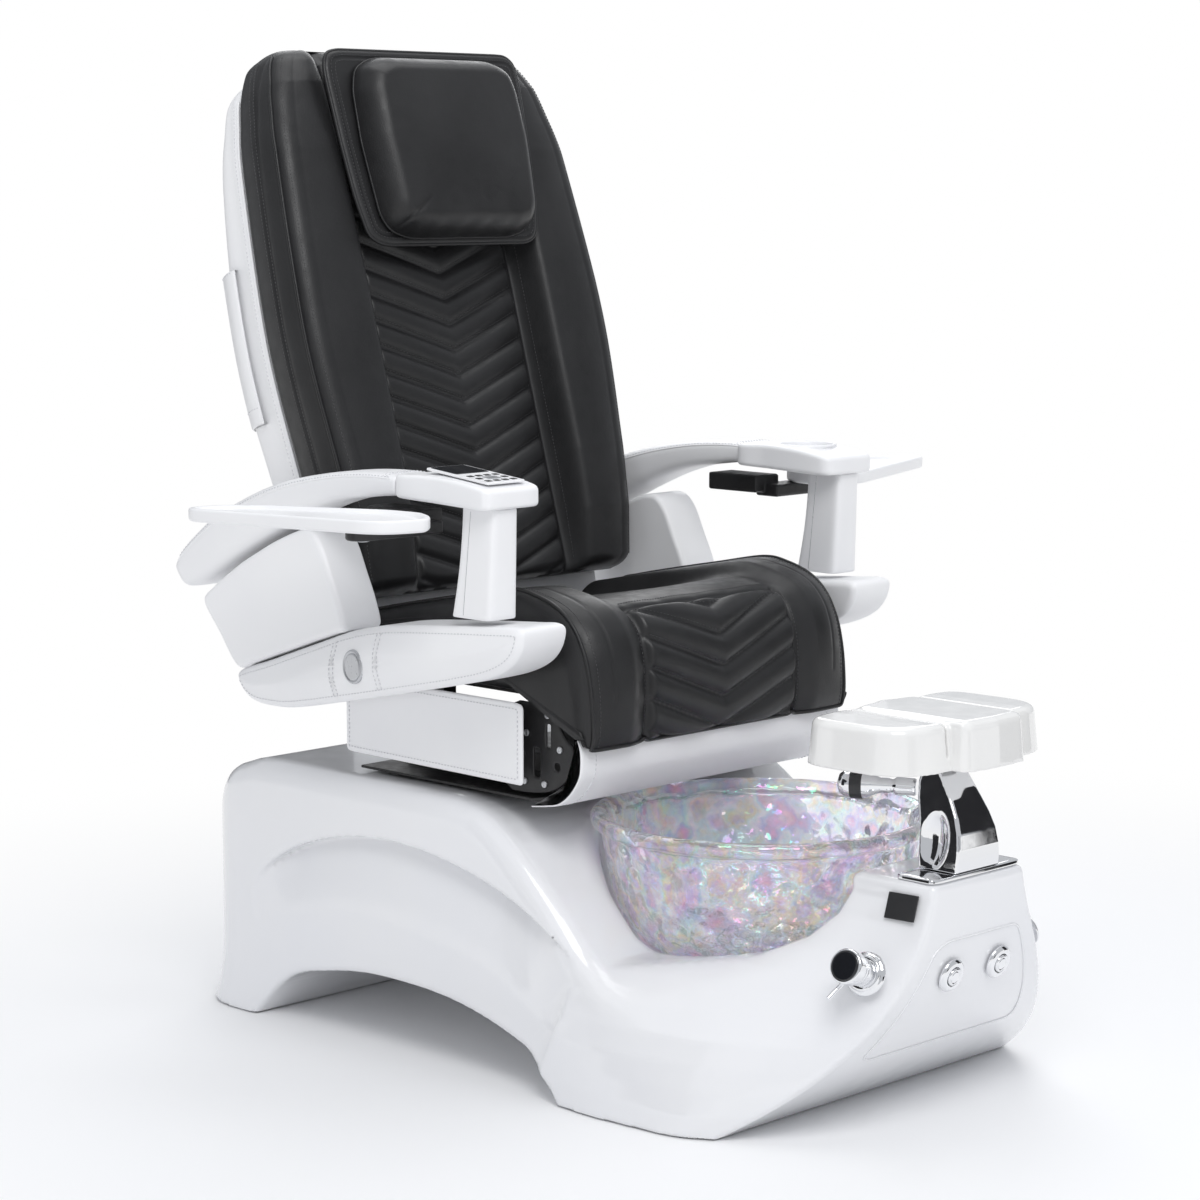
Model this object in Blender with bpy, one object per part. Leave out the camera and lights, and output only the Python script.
"""Pedicure spa chair: a reclining massage seat on an acrylic base with a glass foot bowl.

Metres, +Z up. The chair faces -Y and x = 0 is its plane of symmetry. The origin lies on the
floor, under the floor plate of the base frame. The sitter's right side is -X.
"""

import math

import bmesh
import bpy
from mathutils import Matrix, Vector

# ---------------------------------------------------------------- driving dimensions
GAP = 0.0004

BASE_HALF_WIDTH = 0.31
BASE_REAR = 0.888
BASE_REAR_RADIUS = 0.09
BASE_TOP = 0.374
SHELL_WALL = 0.008
TOWER_TOP = 0.323

BOWL_Y = 0.051
BOWL_RIM_RADIUS = 0.234
BOWL_TOP = 0.356
BOWL_BOTTOM = 0.160
DRAIN_HOLE_RADIUS = 0.022
STOPPER_LIFT_GAP = 0.0015

SEAT_HALF_WIDTH = 0.27
SEAT_TOP = 0.663
RAIL_X = 0.16

BACK_LEAN = math.radians(15.8)
BACK_FOOT = Vector((0.0, 0.579, 0.66))
BACK_HEIGHT = 0.76
BACK_HALF_WIDTH = 0.298
RECLINE_AXIS = Vector((0.0, 0.63, 0.535))
PILLOW_AXIS_HEIGHT = 0.752
PILLOW_AXIS_DEPTH = 0.050

ARM_OUTER = 0.39
ARM_INNER = 0.284
ARM_INNER_REAR = 0.31
ARM_AXIS = Vector((0.0, 0.79, 0.640))
TRAY_PIVOT = Vector((0.465, 0.335, 0.757))
TRAY_THICKNESS = 0.018
TRAY_SWING = {"right": math.radians(22), "left": math.radians(79)}

FOOTREST_AXIS = Vector((0.0, -0.262, 0.476))
VALVE_POINT = Vector((-0.163, -0.269, 0.214))
VALVE_AXIS = Vector((-0.91, -0.145, 0.38)).normalized()
BUTTON_X = 0.049
BUTTON_Z = 0.201

FINISHES = {
    "acrylic": ((0.93, 0.93, 0.95, 1.0), 0.18, 0.0),
    "plastic": ((0.88, 0.88, 0.91, 1.0), 0.35, 0.0),
    "vinyl": ((0.90, 0.90, 0.92, 1.0), 0.50, 0.0),
    "leather": ((0.035, 0.035, 0.037, 1.0), 0.45, 0.0),
    "chrome": ((0.80, 0.80, 0.82, 1.0), 0.06, 1.0),
    "steel": ((0.03, 0.03, 0.035, 1.0), 0.40, 0.6),
    "glass": ((0.90, 0.92, 0.96, 0.35), 0.04, 0.0),
    "rubber": ((0.05, 0.05, 0.05, 1.0), 0.80, 0.0),
    "black_plastic": ((0.03, 0.03, 0.03, 1.0), 0.35, 0.0),
    "footrest": ((0.90, 0.89, 0.87, 1.0), 0.15, 0.0),
}


# ---------------------------------------------------------------- scene and helpers
def clear_scene():
    for obj in list(bpy.data.objects):
        bpy.data.objects.remove(obj, do_unlink=True)


def joint_empty(name, position, parent=None):
    """An empty on a joint's axis, which carries the pieces that move with it."""
    empty = bpy.data.objects.new(name, None)
    empty.empty_display_size = 0.05
    bpy.context.collection.objects.link(empty)
    empty.parent = parent
    offset = parent["at"] if parent else (0.0, 0.0, 0.0)
    empty.location = Vector(position) - Vector(offset)
    empty["at"] = tuple(position)
    return empty


def material_for(name, finish):
    colour, roughness, metallic = FINISHES[finish]
    material = bpy.data.materials.new(name + "_finish")
    material.use_nodes = True
    shader = material.node_tree.nodes["Principled BSDF"]
    shader.inputs["Base Color"].default_value = colour
    shader.inputs["Alpha"].default_value = colour[3]
    shader.inputs["Roughness"].default_value = roughness
    shader.inputs["Metallic"].default_value = metallic
    material.diffuse_color = colour
    return material


def add_object(name, bm, carrier):
    """Links a mesh whose points are in world space, with its origin on the carrier's axis."""
    bmesh.ops.recalc_face_normals(bm, faces=bm.faces[:])
    bmesh.ops.translate(bm, verts=bm.verts[:], vec=-Vector(carrier["at"]))
    mesh = bpy.data.meshes.new(name)
    bm.to_mesh(mesh)
    bm.free()
    obj = bpy.data.objects.new(name, mesh)
    bpy.context.collection.objects.link(obj)
    obj.parent = carrier
    return obj


def add_piece(name, bm, carrier, finish, smooth=False):
    obj = add_object(name, bm, carrier)
    obj.data.materials.append(material_for(name, finish))
    if smooth:
        obj.data.shade_smooth()
        obj.data.set_sharp_from_angle(angle=math.radians(35))
    return obj


def combine(obj, tool_mesh, operation):
    """Cuts a shape out of a piece, or joins it on. The tool stays hidden beside the piece."""
    tool = add_object(f"tool_{obj.name}_{len(obj.modifiers)}", tool_mesh, obj.parent)
    tool.hide_render = True
    tool.display_type = "WIRE"
    modifier = obj.modifiers.new(operation.lower(), "BOOLEAN")
    modifier.operation = operation
    modifier.object = tool
    return tool


def cut(obj, tool_mesh):
    return combine(obj, tool_mesh, "DIFFERENCE")


def join(obj, tool_mesh):
    return combine(obj, tool_mesh, "UNION")


# ---------------------------------------------------------------- basic shapes
def box(low, high):
    bm = bmesh.new()
    low, high = Vector(low), Vector(high)
    bmesh.ops.create_cube(bm, size=1.0)
    bmesh.ops.scale(bm, vec=high - low, verts=bm.verts[:])
    bmesh.ops.translate(bm, vec=(low + high) / 2, verts=bm.verts[:])
    return bm


def side_box(side, x_in, x_out, y_low, y_high, z_low, z_high):
    """A box beside the plane of symmetry: side is -1 for the right and +1 for the left."""
    near, far = sorted((side * x_in, side * x_out))
    return box((near, y_low, z_low), (far, y_high, z_high))


def bar(start, end, width):
    """A square bar between two points."""
    start, end = Vector(start), Vector(end)
    bm = bmesh.new()
    bmesh.ops.create_cube(bm, size=1.0)
    bmesh.ops.scale(bm, vec=(width, width, (end - start).length), verts=bm.verts[:])
    turn = (end - start).to_track_quat("Z", "X").to_matrix().to_4x4()
    bmesh.ops.transform(bm, matrix=Matrix.Translation((start + end) / 2) @ turn, verts=bm.verts[:])
    return bm


def loft(rings):
    """Skins rings of equal length and caps the first and the last."""
    bm = bmesh.new()
    rows = [[bm.verts.new(point) for point in ring] for ring in rings]
    count = len(rows[0])
    for row, following in zip(rows, rows[1:]):
        for i in range(count):
            j = (i + 1) % count
            bm.faces.new((row[i], row[j], following[j], following[i]))
    bm.faces.new(rows[0][::-1])
    bm.faces.new(rows[-1])
    return bm


def prism(outline, x_low, x_high):
    """A side outline, given as (y, z), drawn out across the chair."""
    return loft([[(x, y, z) for y, z in outline] for x in (x_low, x_high)])


def side_prism(side, outline, x_in, x_out):
    near, far = sorted((side * x_in, side * x_out))
    return prism(outline, near, far)


def lathe(profile, segments=24, centre=(0.0, 0.0, 0.0), axis=(0.0, 0.0, 1.0)):
    """Turns (radius, height) points about an axis. A radius of zero closes on the axis."""
    turn = Vector(axis).to_track_quat("Z", "X").to_matrix().to_4x4()
    place = Matrix.Translation(centre) @ turn
    bm = bmesh.new()
    rows = []
    for radius, height in profile:
        if radius < 1e-9:
            rows.append([bm.verts.new(place @ Vector((0.0, 0.0, height)))])
            continue
        angles = [2 * math.pi * i / segments for i in range(segments)]
        row = [Vector((radius * math.cos(a), radius * math.sin(a), height)) for a in angles]
        rows.append([bm.verts.new(place @ point) for point in row])
    ring_profile = profile[0][0] > 1e-9 and profile[-1][0] > 1e-9
    pairs = list(zip(rows, rows[1:]))
    if ring_profile:
        pairs.append((rows[-1], rows[0]))
    for row, following in pairs:
        for i in range(segments):
            j = (i + 1) % segments
            corners = [row[i % len(row)], row[j % len(row)]]
            corners += [following[j % len(following)], following[i % len(following)]]
            corners = list(dict.fromkeys(corners))
            if len(corners) > 2:
                bm.faces.new(corners)
    return bm


def disc(radius, low, high, segments=20, centre=(0, 0, 0), axis=(0, 0, 1), edge=0.0):
    """A solid round with an optional chamfer on its upper edge."""
    profile = [(0.0, low), (radius, low), (radius, high - edge)]
    if edge:
        profile.append((radius - edge, high))
    profile.append((0.0, high))
    return lathe(profile, segments, centre, axis)


def arc(centre, radius, start_deg, end_deg, steps):
    points = []
    for i in range(steps + 1):
        angle = math.radians(start_deg + (end_deg - start_deg) * i / steps)
        points.append((centre[0] + radius * math.cos(angle), centre[1] + radius * math.sin(angle)))
    return points


def interpolate(table, value):
    """Straight-line value between the rows (key, value) of a short table."""
    for (low, first), (high, second) in zip(table, table[1:]):
        if value <= high:
            share = max(0.0, (value - low) / (high - low))
            return first + share * (second - first)
    return table[-1][1]


def bevelled(obj, width, segments=2, angle=40):
    modifier = obj.modifiers.new("bevel", "BEVEL")
    modifier.width = width
    modifier.segments = segments
    modifier.limit_method = "ANGLE"
    modifier.angle_limit = math.radians(angle)
    return obj


# ---------------------------------------------------------------- base shell
TOP_LINE = [(-0.02, 0.15), (0.03, 0.155), (0.09, 0.19), (0.15, 0.25), (0.22, 0.314),
            (0.284, 0.358), (0.34, 0.372), (0.40, BASE_TOP), (0.74, BASE_TOP),
            (0.79, 0.364), (0.845, 0.340), (BASE_REAR, 0.290)]
ARCH_LINE = [(0.080, -0.05), (0.133, 0.022), (0.209, 0.062), (0.338, 0.094), (0.487, 0.101),
             (0.600, 0.088), (0.689, 0.061), (0.780, -0.05)]


def front_edge(z):
    """Half-width and y of the leaning front face at a height."""
    rise = min(z / 0.32, 1.0)
    half_width = 0.094 + 0.21 * (1 - rise) ** 1.5
    lean = max(0.0, 1 - z / 0.30)
    return half_width, -0.32 + 0.184 * lean ** 2.6


def rear_body(inset, floor):
    """The body under the seat, as a loft of upright sections from front to rear."""
    radius = BASE_REAR_RADIUS - inset
    turn_start = BASE_REAR - BASE_REAR_RADIUS
    stations = [(y, 0.0) for y in (-0.02 + inset, 0.03, 0.09, 0.15, 0.22, 0.284, 0.34, 0.40, 0.60,
                                   turn_start)]
    stations += [(turn_start + radius * past, past) for past in (0.35, 0.62, 0.82, 0.94, 1.0)]
    rings = []
    for y, past in stations:
        half = BASE_HALF_WIDTH - inset - radius * (1 - math.sqrt(1 - past * past))
        top = interpolate(TOP_LINE, y) - inset
        round_off = 0.03
        crown = [(half, top - round_off), (half - 0.009, top - 0.009), (half - round_off, top)]
        ring = [(half, floor)] + crown + [(-x, z) for x, z in crown[::-1]] + [(-half, floor)]
        rings.append([(x, y, z) for x, z in ring])
    return loft(rings)


APRON = [
    # height, then the half outline from the front corner to the rear corner as (x, y)
    (0.000, ((0.332, -0.080), (0.335, 0.00), (0.335, 0.06), (0.314, 0.20))),
    (0.030, ((0.322, -0.080), (0.334, 0.00), (0.334, 0.06), (0.313, 0.19))),
    (0.060, ((0.308, -0.090), (0.329, 0.00), (0.331, 0.06), (0.312, 0.18))),
    (0.090, ((0.288, -0.100), (0.319, 0.00), (0.324, 0.06), (0.311, 0.17))),
    (0.120, ((0.264, -0.115), (0.301, -0.01), (0.312, 0.06), (0.308, 0.15))),
    (0.150, ((0.237, -0.130), (0.275, -0.02), (0.287, 0.05), (0.290, 0.11))),
    (0.180, ((0.203, -0.160), (0.235, -0.06), (0.240, 0.02), (0.235, 0.08))),
    (0.210, ((0.166, -0.210), (0.183, -0.15), (0.180, -0.10), (0.170, -0.08))),
    (0.240, ((0.138, -0.240), (0.146, -0.19), (0.142, -0.15), (0.135, -0.135))),
    (0.270, ((0.115, -0.260), (0.118, -0.22), (0.117, -0.18), (0.114, -0.165))),
    (0.300, ((0.101, -0.270), (0.102, -0.23), (0.102, -0.20), (0.101, -0.185))),
    (TOWER_TOP, ((0.094, -0.270), (0.095, -0.23), (0.096, -0.20), (0.096, -0.187))),
]


def apron_body(inset, floor):
    """The apron round the bowl and the tower in front of it, as a stack of level outlines."""
    rings = []
    for z, points in APRON:
        half, front = front_edge(z)
        half_outline = [(half - inset, front + inset)]
        half_outline += [(x - inset, y) for x, y in points]
        x_rear, y_rear = half_outline[-1]
        half_outline[-1] = (x_rear, y_rear - inset)
        outline = half_outline + [(-x, y) for x, y in half_outline[::-1]]
        height = floor if z == 0.0 else z
        if z == TOWER_TOP:
            height = TOWER_TOP - inset
        rings.append([(x, y, height) for x, y in outline])
    return loft(rings)


def bowl_profile():
    outer = [(0.100, BOWL_BOTTOM), (0.150, 0.168), (0.186, 0.200), (0.205, 0.250), (0.216, 0.305)]
    rim = [(0.222, 0.335), (0.232, 0.338), (BOWL_RIM_RADIUS, 0.348), (0.228, BOWL_TOP), (0.216, 0.354)]
    inner = [(0.207, 0.335), (0.201, 0.300), (0.191, 0.250), (0.172, 0.206), (0.142, 0.178), (0.095, 0.169)]
    return outer, rim, inner


def make_base_shell(root):
    floor = -0.03
    shell = add_piece("base_shell", rear_body(0.0, floor), root, "acrylic", smooth=True)
    join(shell, apron_body(0.0, floor))
    liner = [(y, z + SHELL_WALL) for y, z in ARCH_LINE]
    liner[0] = (liner[0][0] - SHELL_WALL, -0.06)
    liner[-1] = (liner[-1][0] + SHELL_WALL, -0.06)
    for body in (rear_body, apron_body):
        cavity = cut(shell, body(SHELL_WALL, floor - 0.01))
        cut(cavity, prism(liner, -0.5, 0.5))
    cut(shell, prism(ARCH_LINE, -0.5, 0.5))
    cut(shell, box((-0.6, -0.6, -0.2), (0.6, 1.2, 0.0)))
    outer, rim, _ = bowl_profile()
    well = [(0.0, BOWL_BOTTOM - 0.012)] + [(r + 0.003, z - 0.003) for r, z in outer]
    well += [(BOWL_RIM_RADIUS + 0.004, 0.333), (BOWL_RIM_RADIUS + 0.004, 0.40), (0.0, 0.40)]
    cut(shell, lathe(well, 32, (0.0, BOWL_Y, 0.0)))
    for position, axis, radius in control_places():
        cut(shell, disc(radius, -0.035, 0.03, 16, position, axis))
    return shell


def control_places():
    """Where a control passes through the shell: its point, its outward axis and its hole."""
    half, front = front_edge(BUTTON_Z)
    lean = Vector((0.0, -math.cos(math.radians(15)), -math.sin(math.radians(15))))
    places = [(Vector((side * BUTTON_X, front, BUTTON_Z)), lean, 0.0145) for side in (-1, 1)]
    places.append((VALVE_POINT, VALVE_AXIS, 0.0185))
    mirrored = Vector((-VALVE_AXIS.x, VALVE_AXIS.y, VALVE_AXIS.z))
    places.append((Vector((-VALVE_POINT.x, VALVE_POINT.y, VALVE_POINT.z)), mirrored, 0.0145))
    return places


# ---------------------------------------------------------------- inside the base
def make_base_frame(root):
    leg_x, rear = 0.258, 0.780
    frame = add_piece("base_frame", box((-0.20, -0.10, -0.003), (0.20, 0.092, 0.005)), root, "steel")
    for y in (0.300, 0.520, rear):
        join(frame, bar((-0.265, y, 0.308), (0.265, y, 0.308), 0.020))
    join(frame, bar((-0.262, 0.165, 0.128), (0.262, 0.165, 0.128), 0.022))
    join(frame, bar((-0.180, -0.050, 0.130), (0.180, -0.050, 0.130), 0.020))
    join(frame, bar((-0.266, 0.076, 0.008), (0.266, 0.076, 0.008), 0.022))
    for side in (-1, 1):
        x = side * leg_x
        join(frame, bar((x, 0.286, 0.310), (x, rear + 0.008, 0.310), 0.025))
        join(frame, bar((x, rear, -0.010), (x, rear, 0.316), 0.023))
        join(frame, bar((x, 0.297, 0.305), (x, 0.072, -0.006), 0.024))
        join(frame, bar((side * 0.168, -0.048, -0.010), (side * 0.168, -0.048, 0.126), 0.024))
    cut(frame, box((-0.5, -0.5, -0.1), (0.5, 1.0, 0.0)))
    return frame


def make_bowl(root):
    centre = (0.0, BOWL_Y, 0.0)
    outer, rim, inner = bowl_profile()
    profile = [(DRAIN_HOLE_RADIUS, BOWL_BOTTOM)] + outer + rim + inner + [(DRAIN_HOLE_RADIUS, 0.168)]
    add_piece("bowl", lathe(profile, 32, centre), root, "glass", smooth=True)
    under = BOWL_BOTTOM - GAP
    ring = [(0.075, under - 0.006), (0.098, under - 0.006), (0.098, under), (0.075, under)]
    add_piece("bowl_gasket", lathe(ring, 24, centre), root, "rubber", smooth=True)
    low, high = 0.1408, under - 0.006 - GAP
    cradle = [(0.055, low), (0.150, low), (0.150, high), (0.055, high)]
    add_piece("bowl_cradle", lathe(cradle, 24, centre), root, "black_plastic", smooth=True)


def make_drain(root, stopper_axis):
    centre = (0.0, BOWL_Y, 0.0)
    flange = 0.168 + GAP
    fitting = [(0.0155, 0.085), (0.0205, 0.085), (0.0205, flange), (0.034, flange),
               (0.034, flange + 0.003), (0.026, flange + 0.004), (0.0155, flange + 0.002)]
    add_piece("drain_fitting", lathe(fitting, 20, centre), root, "chrome", smooth=True)
    seat = flange + 0.004 + STOPPER_LIFT_GAP
    stopper = [(0.0, 0.135), (0.004, 0.135), (0.004, seat), (0.025, seat), (0.024, seat + 0.003),
               (0.012, seat + 0.006), (0.0, seat + 0.0065)]
    add_piece("drain_stopper", lathe(stopper, 20, centre), stopper_axis, "chrome", smooth=True)
    route = [(0.0, BOWL_Y, 0.0845), (0.0, BOWL_Y, 0.062)]
    turn_radius = 0.027
    for y, z in arc((0.0, 0.0), turn_radius, 180, 270, 5)[1:]:
        route.append((y + turn_radius, BOWL_Y, 0.062 + z))
    route.append((0.14, BOWL_Y - 0.012, 0.035))
    curve = bpy.data.curves.new("drain_pipe", "CURVE")
    curve.dimensions = "3D"
    curve.bevel_depth = 0.019
    curve.bevel_resolution = 3
    curve.use_fill_caps = True
    spline = curve.splines.new("POLY")
    spline.points.add(len(route) - 1)
    for point, place in zip(spline.points, route):
        point.co = (*place, 1.0)
    pipe = bpy.data.objects.new("drain_pipe", curve)
    pipe.data.materials.append(material_for("drain_pipe", "plastic"))
    bpy.context.collection.objects.link(pipe)
    pipe.parent = root


def jet_place():
    """Centre of the jet on the bowl's front wall, and the outward axis through the glass."""
    tilt = math.radians(17)
    axis = Vector((0.0, -math.cos(tilt), -math.sin(tilt)))
    return Vector((0.0, BOWL_Y - 0.194, 0.240)), axis


def make_jet(root, impeller_axis):
    centre, axis = jet_place()
    cover = [(0.017, -0.030), (0.036, -0.030), (0.040, -0.024), (0.040, -0.016), (0.017, -0.016)]
    add_piece("jet_cover", lathe(cover, 24, centre, axis), root, "plastic", smooth=True)
    blades = []
    for i in range(12):
        radius = 0.0150 if i % 2 else 0.0065
        angle = math.pi * i / 6
        blades.append((radius * math.cos(angle), radius * math.sin(angle)))
    turn = axis.to_track_quat("Z", "X").to_matrix()
    rings = [[centre + turn @ Vector((x, y, h)) for x, y in blades] for h in (-0.028, -0.018)]
    add_piece("jet_impeller", loft(rings), impeller_axis, "black_plastic")
    motor = disc(0.024, 0.0150, 0.060, 20, centre, axis, edge=0.004)
    add_piece("jet_motor", motor, root, "black_plastic", smooth=True)


# ---------------------------------------------------------------- controls on the tower
def make_controls(root, knob_axis, button_axes):
    places = control_places()
    names = ("right", "left", None, "side")
    for (position, axis, _), name in zip(places, names):
        if name is None:
            continue
        bezel = [(0.0125, -0.028), (0.0140, -0.028), (0.0140, 0.0024), (0.0225, 0.0024),
                 (0.0225, 0.005), (0.0195, 0.0085), (0.0125, 0.0095)]
        add_piece(f"button_bezel_{name}", lathe(bezel, 24, position, axis), root, "chrome", smooth=True)
        button = disc(0.0120, -0.020, 0.0120, 20, position, axis, edge=0.002)
        add_piece(f"button_{name}", button, button_axes[name], "chrome", smooth=True)
    position, axis, _ = places[2]
    ring = [(0.0125, 0.0030), (0.0285, 0.0030), (0.0285, 0.0055), (0.0235, 0.0110), (0.0125, 0.0115)]
    add_piece("valve_escutcheon", lathe(ring, 28, position, axis), root, "chrome", smooth=True)
    body = disc(0.0180, -0.0560, -0.0120, 20, position, axis, edge=0.003)
    add_piece("valve_body", body, root, "chrome", smooth=True)
    knob_profile = [(0.0, -0.0110), (0.0110, -0.0110), (0.0110, 0.0150), (0.0190, 0.0160),
                    (0.0200, 0.0400), (0.0225, 0.0430), (0.0225, 0.0560), (0.0200, 0.0590), (0.0, 0.0590)]
    knob = add_piece("valve_knob", lathe(knob_profile, 24, position, axis), knob_axis, "chrome", smooth=True)
    start = position + axis * 0.030
    end = start + Vector((-0.020, -0.022, -0.036))
    join(knob, bar(start, end, 0.006))
    plate = box((-0.0012, -0.0225, -0.0170), (0.0012, 0.0225, 0.0170))
    lean = Matrix.Rotation(math.radians(20), 4, "Y")
    yaw = Matrix.Rotation(math.radians(5), 4, "Z")
    place = Matrix.Translation((-0.1085, -0.2790, 0.2930)) @ yaw @ lean
    bmesh.ops.transform(plate, matrix=place, verts=plate.verts[:])
    add_piece("badge_plate", plate, root, "black_plastic")


# ---------------------------------------------------------------- footrest and spout
def make_footrest(root, footrest_axis):
    low = TOWER_TOP + GAP
    plate = box((-0.092, -0.3175, low), (0.092, -0.252, low + 0.006))
    bevelled(add_piece("tower_plate", plate, root, "chrome"), 0.0015)
    sections = [(low + 0.0064, 0.045, -0.316, -0.254), (0.360, 0.043, -0.317, -0.252),
                (0.395, 0.037, -0.309, -0.246), (0.425, 0.031, -0.294, -0.238),
                (0.458, 0.027, -0.279, -0.246)]
    rings = []
    for z, half, front, rear in sections:
        rings.append([(half, front, z), (half, rear, z), (-half, rear, z), (-half, front, z)])
    stand = add_piece("footrest_stand", loft(rings), root, "chrome", smooth=True)
    join(stand, box((-0.014, -0.273, 0.445), (0.014, -0.251, 0.486)))
    cut(stand, lathe([(0.0, -0.03), (0.0054, -0.03), (0.0054, 0.03), (0.0, 0.03)], 16, FOOTREST_AXIS,
                     (1, 0, 0)))
    for side in (-1, 1):
        pocket = lathe([(0.0, -0.012), (0.022, -0.012), (0.022, 0.012), (0.0, 0.012)], 20,
                       (side * 0.046, -0.272, 0.375), (1, 0, 0))
        cut(stand, pocket)
    make_footrest_pad(footrest_axis)
    reach = Vector((-0.062, 0.118, 0.0))
    start = Vector((-0.020, -0.2310, 0.428))
    spout = [(0.0, 0.0), (0.011, 0.0), (0.012, 0.028), (0.009, 0.034), (0.010, 0.050),
             (0.017, 0.066), (0.019, 0.088), (0.014, 0.100), (0.0, 0.104)]
    add_piece("fill_spout", lathe(spout, 20, start, reach), root, "chrome", smooth=True)


def make_footrest_pad(footrest_axis):
    low, high = 0.468, 0.527
    outline = [(0.066, -0.325), (0.100, -0.320)]
    outline += [(x, y) for x, y in arc((0.090, -0.250), 0.070, -80, 0, 4)]
    outline += [(0.158, -0.170), (0.142, -0.145), (0.110, -0.142), (0.066, -0.160)]
    full = outline + [(-x, y) for x, y in outline[::-1]]
    rings = []
    for shrink, z in ((0.004, low), (0.000, low + 0.004), (0.006, high - 0.016), (0.012, high - 0.005),
                      (0.022, high)):
        rings.append([(x - math.copysign(shrink, x) * (abs(x) > 0.08),
                       y + shrink * (1 if y < -0.24 else -0.6), z)
                      for x, y in full])
    pad = add_piece("footrest_pad", loft(rings), footrest_axis, "footrest", smooth=True)
    front_back = [(-0.350, 0.4665), (-0.346, 0.512), (-0.333, 0.527), (-0.300, 0.5305), (-0.200, 0.5305),
                  (-0.170, 0.527), (-0.163, 0.500), (-0.165, 0.4665)]
    join(pad, prism(front_back, -0.0645, 0.0645))
    cut(pad, box((-0.030, -0.294, 0.450), (0.030, -0.230, 0.497)))
    for low_x, high_x in ((-0.034, -0.004), (0.004, 0.034)):
        stub = lathe([(0.0, low_x), (0.005, low_x), (0.005, high_x), (0.0, high_x)], 16, FOOTREST_AXIS,
                     (1, 0, 0))
        join(pad, stub)


# ---------------------------------------------------------------- seat carriage
def make_rails(root):
    for side, name in ((-1, "right"), (1, "left")):
        rail = side_box(side, RAIL_X - 0.012, RAIL_X + 0.012, 0.30, 0.60, BASE_TOP + GAP, 0.398)
        add_piece(f"slide_rail_{name}", rail, root, "steel")
    motor = lathe([(0.0, -0.06), (0.028, -0.06), (0.028, 0.05), (0.012, 0.058), (0.0, 0.058)], 20,
                  (0.0, 0.595, 0.2695), (0, 1, 0))
    add_piece("slide_motor", motor, root, "black_plastic", smooth=True)


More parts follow.
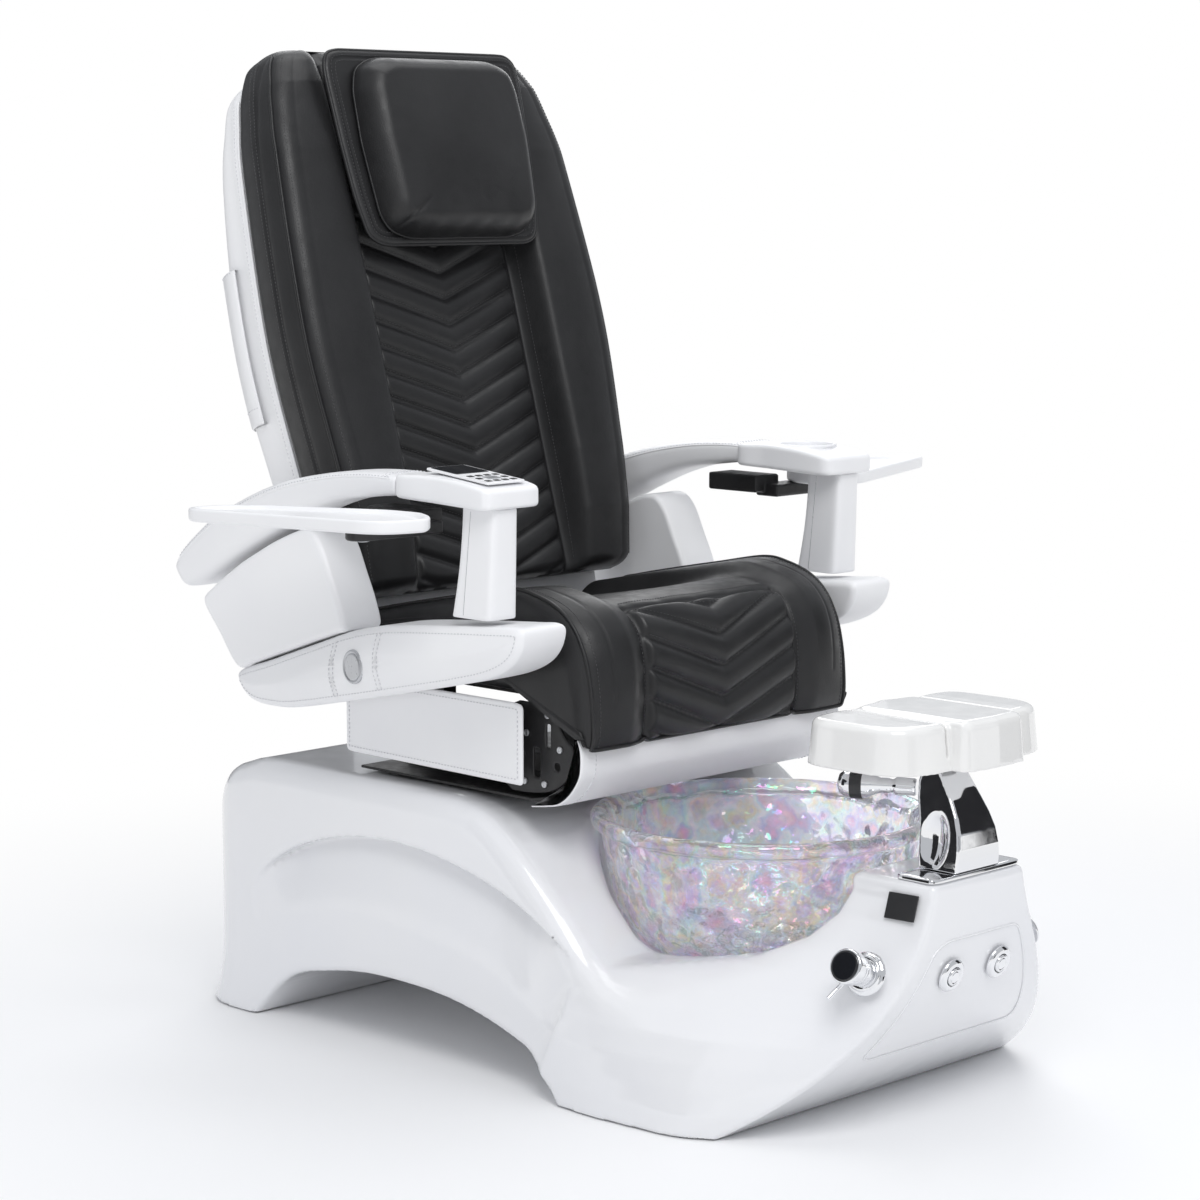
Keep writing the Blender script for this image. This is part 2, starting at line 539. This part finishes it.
def make_seat(seat):
    lip = [(0.580, 0.3785), (0.232, 0.3785), (0.182, 0.388), (0.149, 0.424), (0.146, 0.456), (0.150, 0.470)]
    skin = lip + [(0.154, 0.469), (0.150, 0.456), (0.153, 0.426), (0.184, 0.392), (0.233, 0.3825),
                  (0.580, 0.3825)]
    tray = add_piece("seat_tray", prism(skin, -0.258, 0.258), seat, "steel")
    for side in (-1, 1):
        cut(tray, side_box(side, RAIL_X - 0.018, RAIL_X + 0.018, 0.165, 0.70, 0.36, 0.3875))
    panel = [(0.232, 0.3745), (0.180, 0.384), (0.1445, 0.422), (0.1415, 0.456), (0.1475, 0.4720),
             (0.1435, 0.4735), (0.1370, 0.456), (0.1400, 0.420), (0.177, 0.380), (0.232, 0.3705)]
    add_piece("front_panel", prism(panel, -0.262, 0.262), seat, "vinyl", smooth=True)
    frame = add_piece("seat_frame", box((-0.235, 0.20, 0.516), (0.235, 0.57, 0.522)), seat, "steel")
    for side in (-1, 1):
        join(frame, side_box(side, RAIL_X - 0.016, RAIL_X + 0.016, 0.22, 0.57, 0.399, 0.424))
        for y in (0.24, 0.50):
            join(frame, side_box(side, RAIL_X - 0.012, RAIL_X + 0.012, y, y + 0.04, 0.42, 0.518))
        join(frame, bar((side * 0.225, 0.545, 0.515), (side * 0.225, RECLINE_AXIS.y, RECLINE_AXIS.z), 0.022))
        join(frame, bar((side * 0.15, 0.545, 0.515), (side * 0.242, 0.545, 0.515), 0.018))
    pin = lathe([(0.0, -0.272), (0.0065, -0.272), (0.0065, 0.272), (0.0, 0.272)], 14, RECLINE_AXIS, (1, 0, 0))
    join(frame, pin)
    actuator = disc(0.017, 0.0, 0.20, 16, (0.0, 0.30, 0.462), (0.0, 1.0, 0.12), edge=0.003)
    piece = add_piece("recline_actuator", actuator, seat, "black_plastic", smooth=True)
    join(piece, disc(0.008, 0.15, 0.275, 12, (0.0, 0.30, 0.462), (0.0, 1.0, 0.12)))
    cushion = [(0.560, 0.528), (0.575, 0.560), (0.570, 0.598), (0.527, 0.612), (0.400, 0.637), (0.300, 0.658),
               (0.249, SEAT_TOP), (0.210, 0.655), (0.172, 0.612), (0.140, 0.540), (0.126, 0.486),
               (0.132, 0.476), (0.150, 0.474), (0.172, 0.486), (0.186, 0.524)]
    pad = add_piece("seat_cushion", prism(cushion, -SEAT_HALF_WIDTH, SEAT_HALF_WIDTH), seat, "leather")
    bevelled(pad, 0.018, 2, 60)
    for side, name in ((-1, "right"), (1, "left")):
        skirt = side_box(side, 0.2785, 0.2835, 0.225, 0.585, 0.403, 0.514)
        add_piece(f"skirt_{name}", skirt, seat, "vinyl")
        outline = [(0.716, 0.510), (0.700, 0.484), (0.656, 0.4725), (0.586, 0.476), (0.464, 0.500),
                   (0.266, 0.543), (0.186, 0.565), (0.142, 0.592), (0.132, 0.628), (0.142, 0.634),
                   (0.273, 0.624), (0.391, 0.613), (0.466, 0.598), (0.542, 0.573), (0.640, 0.540),
                   (0.705, 0.520)]
        side_panel = add_piece(f"side_panel_{name}", side_prism(side, outline, 0.289, 0.386), seat, "vinyl")
        bevelled(side_panel, 0.008, 2)
        shell = [(0.781, 0.609), (0.706, 0.5215), (0.641, 0.5412), (0.543, 0.5742), (0.475, 0.5970),
                 (0.500, 0.664), (0.526, 0.715), (0.560, 0.731), (0.612, 0.7125), (0.700, 0.6700),
                 (0.757, 0.6340)]
        arm_shell = add_piece(f"arm_shell_{name}", side_prism(side, shell, 0.306, 0.380), seat, "plastic")
        bevelled(arm_shell, 0.006, 1)


# ---------------------------------------------------------------- backrest
def back_point(x, up, out):
    """A point of the backrest: across, up along its face, and out of its centre panel."""
    along = Vector((0.0, math.sin(BACK_LEAN), math.cos(BACK_LEAN)))
    normal = Vector((0.0, -math.cos(BACK_LEAN), math.sin(BACK_LEAN)))
    return BACK_FOOT + Vector((x, 0.0, 0.0)) + along * up + normal * out


def back_loft(sections):
    return loft([[back_point(x, up, out) for x, out in ring] for up, ring in sections])


def back_half_width(up):
    return interpolate([(-0.10, 0.262), (0.0, 0.272), (0.14, 0.284), (0.34, BACK_HALF_WIDTH), (0.58, 0.284),
                        (0.70, 0.262), (0.735, 0.246), (BACK_HEIGHT, 0.215)], up)


def back_box(x_low, x_high, up_low, up_high, out_low, out_high):
    ring = [(x_low, out_low), (x_high, out_low), (x_high, out_high), (x_low, out_high)]
    return back_loft([(up_low, ring), (up_high, ring)])


def make_back_pad(back):
    sections = []
    for up in (-0.04, 0.0, 0.14, 0.34, 0.58, 0.70, 0.735, BACK_HEIGHT):
        half = back_half_width(up)
        proud = interpolate([(-0.04, 0.020), (0.14, 0.045), (0.60, 0.040), (BACK_HEIGHT, 0.012)], up)
        centre = interpolate([(-0.04, 0.0), (0.60, 0.0), (0.735, 0.004), (BACK_HEIGHT, -0.010)], up)
        front = [(-half, 0.012), (-half + 0.030, proud), (-0.172, proud - 0.006), (-0.150, centre)]
        ring = [(-half, -0.060)] + front + [(-x, out) for x, out in front[::-1]] + [(half, -0.060)]
        sections.append((up, ring))
    return add_piece("back_pad", back_loft(sections), back, "leather", smooth=True)


def make_back_shell(back):
    def tub(inset, front):
        sections = []
        for up in (-0.085, 0.05, 0.20, 0.40, 0.58, 0.68, 0.722):
            depth = interpolate([(-0.085, 0.120), (0.05, 0.152), (0.30, 0.168), (0.58, 0.140), (0.68, 0.118),
                                 (0.722, 0.095)], up)
            half = back_half_width(up) - 0.006 - inset
            ring = [(-half, front), (-half, -0.105), (-half + 0.035, -depth + inset)]
            ring = ring + [(-x, out) for x, out in ring[::-1]]
            height = min(up, 0.722 - inset) - (4 * inset if up < 0.0 else 0.0)
            sections.append((height, ring))
        return back_loft(sections)

    shell = add_piece("back_shell", tub(0.0, -0.0608), back, "plastic", smooth=True)
    cut(shell, tub(0.006, -0.03))
    band = []
    for up, out in ((0.235, -0.168), (0.290, -0.1735), (0.410, -0.1690), (0.460, -0.157)):
        half = back_half_width(up) + 0.002
        band.append((up, [(-half, -0.100), (-half, -0.112), (-half + 0.040, out - 0.004),
                          (half - 0.040, out - 0.004),
                          (half, -0.112), (half, -0.100), (half - 0.0035, -0.100), (half - 0.0035, -0.110),
                          (half - 0.042, out - 0.0008), (-half + 0.042, out - 0.0008),
                          (-half + 0.0035, -0.110),
                          (-half + 0.0035, -0.100)]))
    strap = back_loft(band)
    add_piece("back_strap", strap, back, "vinyl")


def make_back_frame(back):
    frame = add_piece("back_frame", back_box(-0.205, -0.183, -0.06, 0.655, -0.105, -0.068), back, "steel")
    join(frame, back_box(0.183, 0.205, -0.06, 0.655, -0.105, -0.068))
    for up in (-0.03, 0.640):
        join(frame, back_box(-0.20, 0.20, up, up + 0.022, -0.103, -0.075))
    for side in (-1, 1):
        lug = bar(back_point(side * 0.194, -0.045, -0.085), (side * 0.194, RECLINE_AXIS.y, RECLINE_AXIS.z),
                  0.026)
        join(frame, lug)
    cut(frame, lathe([(0.0, -0.3), (0.0075, -0.3), (0.0075, 0.3), (0.0, 0.3)], 14, RECLINE_AXIS, (1, 0, 0)))


def make_massage(carriage, roller_axis):
    body = add_piece("massage_carriage", back_box(-0.180, 0.180, 0.20, 0.27, -0.118, -0.108), carriage,
                     "black_plastic")
    for x in (-0.155, 0.155):
        join(body, back_box(x - 0.010, x + 0.010, 0.205, 0.265, -0.112, -0.078))
    cut(body, lathe([(0.0, -0.3), (0.0055, -0.3), (0.0055, 0.3), (0.0, 0.3)], 12, roller_centre(), (1, 0, 0)))
    rollers = [(0.0, -0.162), (0.0050, -0.162), (0.0050, -0.098), (0.018, -0.092), (0.021, -0.080),
               (0.018, -0.068),
               (0.0050, -0.062), (0.0050, 0.062), (0.018, 0.068), (0.021, 0.080), (0.018, 0.092),
               (0.0050, 0.098),
               (0.0050, 0.162), (0.0, 0.162)]
    add_piece("massage_rollers", lathe(rollers, 18, roller_centre(), (1, 0, 0)), roller_axis, "rubber",
              smooth=True)


def roller_centre():
    return back_point(0.0, 0.235, -0.0850)


def make_pillow(pillow):
    flap = []
    for up, half in ((0.452, 0.150), (0.462, 0.168), (0.60, 0.184), (0.715, 0.190), (0.742, 0.186)):
        flap.append((up, [(-half, 0.0465), (half, 0.0465), (half, 0.0575), (-half, 0.0575)]))
    add_piece("pillow_flap", back_loft(flap), pillow, "leather")
    pad = []
    for up, half, thick in ((0.458, 0.105, 0.018), (0.470, 0.130, 0.034), (0.500, 0.148, 0.050),
                            (0.600, 0.156, 0.058),
                            (0.680, 0.152, 0.052), (0.715, 0.138, 0.036), (0.728, 0.112, 0.016)):
        pad.append((up, [(-half, 0.0582), (half, 0.0582), (half, 0.0582 + thick * 0.55),
                         (half - 0.028, 0.0582 + thick),
                         (-half + 0.028, 0.0582 + thick), (-half, 0.0582 + thick * 0.55)]))
    add_piece("pillow_pad", back_loft(pad), pillow, "leather", smooth=True)


# ---------------------------------------------------------------- arms and trays
def make_arm(arm, tray_axis, side, name):
    pad_outline = [(0.3556, 0.788), (0.3556, 0.818), (0.465, 0.815), (0.580, 0.797), (0.700, 0.757),
                   (0.790, 0.706),
                   (0.833, 0.664), (0.826, 0.640), (0.800, 0.627), (0.770, 0.642), (0.700, 0.681),
                   (0.614, 0.722),
                   (0.507, 0.766), (0.430, 0.781)]
    near, far = sorted((side * ARM_INNER_REAR, side * ARM_OUTER))
    arm_pad = add_piece(f"arm_pad_{name}", prism(pad_outline, near, far), arm, "vinyl")
    bevelled(arm_pad, 0.007, 2)
    front = [(0.182, 0.781), (0.182, 0.806), (0.240, 0.817), (0.300, 0.8205), (0.3550, 0.8185),
             (0.3550, 0.7875),
             (0.290, 0.7845)]
    arm_front = add_piece(f"arm_front_{name}", side_prism(side, front, ARM_INNER, ARM_OUTER), arm, "plastic")
    bevelled(arm_front, 0.004, 1)
    rings = []
    for z, y_low, y_high, x_in, x_out in ((0.6360, 0.196, 0.272, 0.318, 0.372),
                                          (0.7805, 0.190, 0.254, 0.322, 0.368)):
        rings.append([(side * x, y, z) for x, y in ((x_in, y_low), (x_out, y_low), (x_out, y_high),
                                                    (x_in, y_high))])
    pillar = add_piece(f"pillar_{name}", loft(rings), arm, "plastic")
    bevelled(pillar, 0.005, 1)
    bracket = side_box(side, 0.314, 0.366, 0.345, 0.440, 0.744, 0.7700)
    bracket_piece = add_piece(f"tray_bracket_{name}", bracket, arm, "steel")
    join(bracket_piece, side_box(side, 0.340, TRAY_PIVOT.x + 0.018, 0.320, 0.365, 0.738, 0.7564))
    if side < 0:
        keypad = box((-0.372, 0.196, 0.0), (-0.302, 0.318, 0.003))
        slope = Matrix.Rotation(math.radians(6.0), 4, "X")
        bmesh.ops.translate(keypad, verts=keypad.verts[:], vec=(0.0, -0.257, 0.0))
        bmesh.ops.transform(keypad, matrix=Matrix.Translation((0.0, 0.257, 0.8195)) @ slope,
                            verts=keypad.verts[:])
        add_piece("keypad", keypad, arm, "black_plastic")
    else:
        cut(arm_front, lathe([(0.0, 0.795), (0.034, 0.795), (0.038, 0.84), (0.0, 0.84)], 24,
                             (0.34, 0.268, 0.0)))
    make_tray(tray_axis, side, name)


def make_tray(tray_axis, side, name):
    """A dished tray, drawn beside its arm and then swung out about its pivot."""
    outline = [(0.008, 0.238), (0.029, 0.246), (0.043, 0.230), (0.088, -0.040), (0.085, -0.066),
               (0.070, -0.088), (0.035, -0.111), (0.000, -0.098), (-0.032, -0.070), (-0.048, -0.020),
               (-0.044, 0.060), (-0.038, 0.160), (-0.022, 0.212)]
    middle = Vector((0.021, 0.07))
    turn = Matrix.Rotation(-TRAY_SWING[name], 2)

    def level(inset, z):
        ring = []
        for point in outline:
            away = Vector(point) - middle
            place = turn @ (middle + away * (1 - inset / away.length))
            ring.append((side * (TRAY_PIVOT.x + place.x), TRAY_PIVOT.y + place.y, z))
        return ring

    low = TRAY_PIVOT.z
    plate = loft([level(0.004, low), level(0.0, low + 0.004), level(0.0, low + TRAY_THICKNESS)])
    tray = add_piece(f"tray_{name}", plate, tray_axis, "plastic")
    cut(tray, loft([level(0.012, low + 0.013), level(0.009, low + 0.03)]))


# ---------------------------------------------------------------- assembly
def main():
    clear_scene()
    root = joint_empty("base", (0.0, 0.0, 0.0))
    make_base_shell(root)
    make_base_frame(root)
    make_bowl(root)
    make_drain(root, joint_empty("stopper_axis", (0.0, BOWL_Y, 0.172), root))
    make_jet(root, joint_empty("impeller_axis", jet_place()[0], root))
    places = control_places()
    button_axes = {}
    for (position, _, _), name in zip(places, ("right", "left", "knob", "side")):
        button_axes[name] = joint_empty(f"{name}_control_axis", position, root)
    make_controls(root, button_axes["knob"], button_axes)
    make_footrest(root, joint_empty("footrest_axis", FOOTREST_AXIS, root))
    make_rails(root)
    seat = joint_empty("seat_slide_axis", (0.0, 0.40, 0.40), root)
    make_seat(seat)
    back = joint_empty("recline_axis", RECLINE_AXIS, seat)
    make_back_pad(back)
    make_back_shell(back)
    make_back_frame(back)
    carriage = joint_empty("massage_slide_axis", back_point(0.0, 0.235, -0.11), back)
    make_massage(carriage, joint_empty("roller_axis", roller_centre(), carriage))
    make_pillow(joint_empty("pillow_axis", back_point(0.0, PILLOW_AXIS_HEIGHT, PILLOW_AXIS_DEPTH), back))
    for side, name in ((-1, "right"), (1, "left")):
        arm = joint_empty(f"arm_{name}_axis", ARM_AXIS + Vector((side * 0.35, 0.0, 0.0)), seat)
        pivot = Vector((side * TRAY_PIVOT.x, TRAY_PIVOT.y, TRAY_PIVOT.z))
        make_arm(arm, joint_empty(f"tray_{name}_axis", pivot, arm), side, name)


main()
